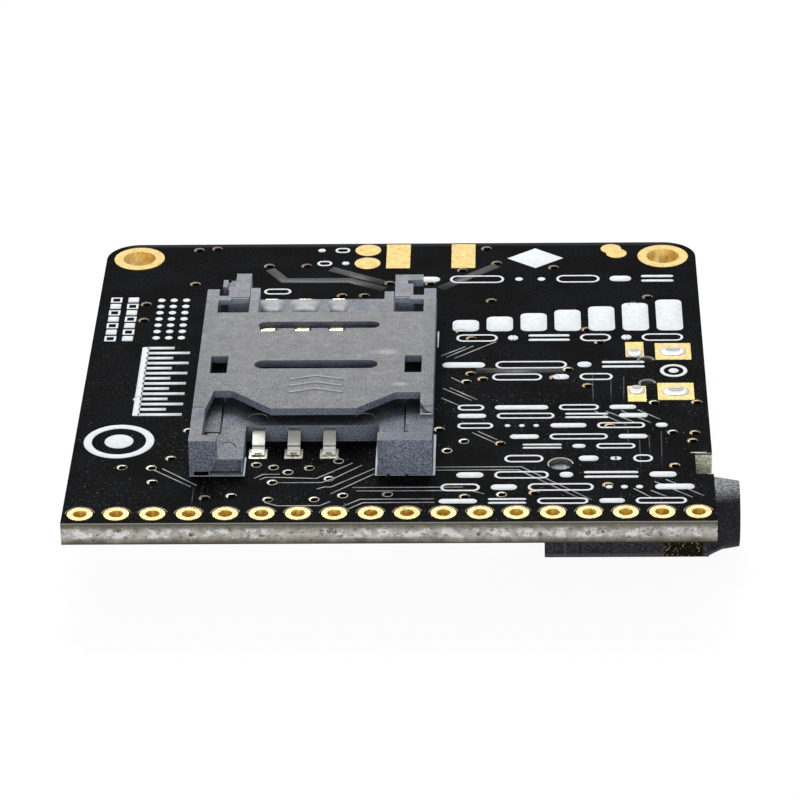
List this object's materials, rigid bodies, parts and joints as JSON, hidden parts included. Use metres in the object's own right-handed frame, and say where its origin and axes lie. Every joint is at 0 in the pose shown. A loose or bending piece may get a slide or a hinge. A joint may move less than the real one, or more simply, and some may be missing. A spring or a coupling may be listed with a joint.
{
  "type": "cellular breakout board",
  "caption": "Square circuit board with a SIM card holder on one face, a radio module, headset jack, charging and battery sockets on the other, and a row of plated header holes.",
  "frame": {"origin": "middle of the header row, on the upper face of the board, the face with the SIM holder", "axes": "+X along the header row towards the jack, +Y from the header row to the back edge, +Z out of the upper face"},
  "size_m": [0.0477, 0.0445, 0.0099],
  "materials": {
    "solder_mask": "satin black solder mask over glass laminate",
    "gold_plating": "bright immersion gold",
    "sim_plastic": "matte speckled dark grey moulding",
    "contact_metal": "bright plated spring strip",
    "jack_plastic": "satin black moulding",
    "jack_metal": "tinned brass",
    "steel_shell": "nickel-plated stamped steel",
    "black_moulding": "matte black moulding",
    "white_moulding": "matte off-white moulding",
    "tinned_metal": "bright tin",
    "module_laminate": "satin green laminate",
    "shield_metal": "tinned drawn can",
    "resistor_black": "glazed black",
    "capacitor_tan": "fired ceramic",
    "led_lens": "clear pale resin",
    "bulk_capacitor": "ochre moulding"
  },
  "bodies": {
    "circuit_board": {"board": "solder_mask", "header_plating": "gold_plating", "mounting_hole_plating": "gold_plating", "usb_slot_plating": "gold_plating", "antenna_edge_pads": "gold_plating", "jumper_pads": "gold_plating", "test_pad": "gold_plating", "sim_pads": "gold_plating", "sim_holder": "sim_plastic", "sim_front_contacts": "contact_metal", "sim_rear_contacts": "contact_metal", "jack_housing": "jack_plastic", "jack_sleeve_contact": "jack_metal", "jack_ring_contacts": "jack_metal", "jack_tip_contact": "jack_metal", "usb_shell": "steel_shell", "usb_insulator": "black_moulding", "usb_contacts": "gold_plating", "battery_socket": "white_moulding", "battery_pins": "tinned_metal", "battery_anchors": "tinned_metal", "module_board": "module_laminate", "module_edge_contacts": "gold_plating", "module_shield": "shield_metal", "module_processor": "black_moulding", "module_memory": "black_moulding", "module_amplifier": "black_moulding", "antenna_socket_bases": "white_moulding", "antenna_socket_shells": "gold_plating", "antenna_socket_pins": "gold_plating", "key_base": "black_moulding", "key_cover": "steel_shell", "key_dome": "steel_shell", "key_terminals": "tinned_metal", "level_shifter_body": "black_moulding", "level_shifter_leads": "tinned_metal", "charger_chip_body": "black_moulding", "charger_chip_pads": "tinned_metal", "resistor_bodies": "resistor_black", "resistor_terminals": "tinned_metal", "capacitor_bodies": "capacitor_tan", "capacitor_terminals": "tinned_metal", "led_lenses": "led_lens", "led_bases": "white_moulding", "transistor_bodies": "black_moulding", "transistor_leads": "tinned_metal", "bulk_capacitor_body": "bulk_capacitor", "bulk_capacitor_terminals": "tinned_metal", "diode_body": "black_moulding", "diode_terminals": "tinned_metal"},
    "key": {"key_plunger": "white_moulding"}
  },
  "joints": [
    {"name": "key_press", "type": "slide", "parent": "circuit_board", "child": "key", "axis": [0, 0, 1], "range_m": [0, 0.00025], "stiffness_N_per_m": 2000, "springref_m": -0.0003, "deforming": ["key_dome"]}
  ]
}
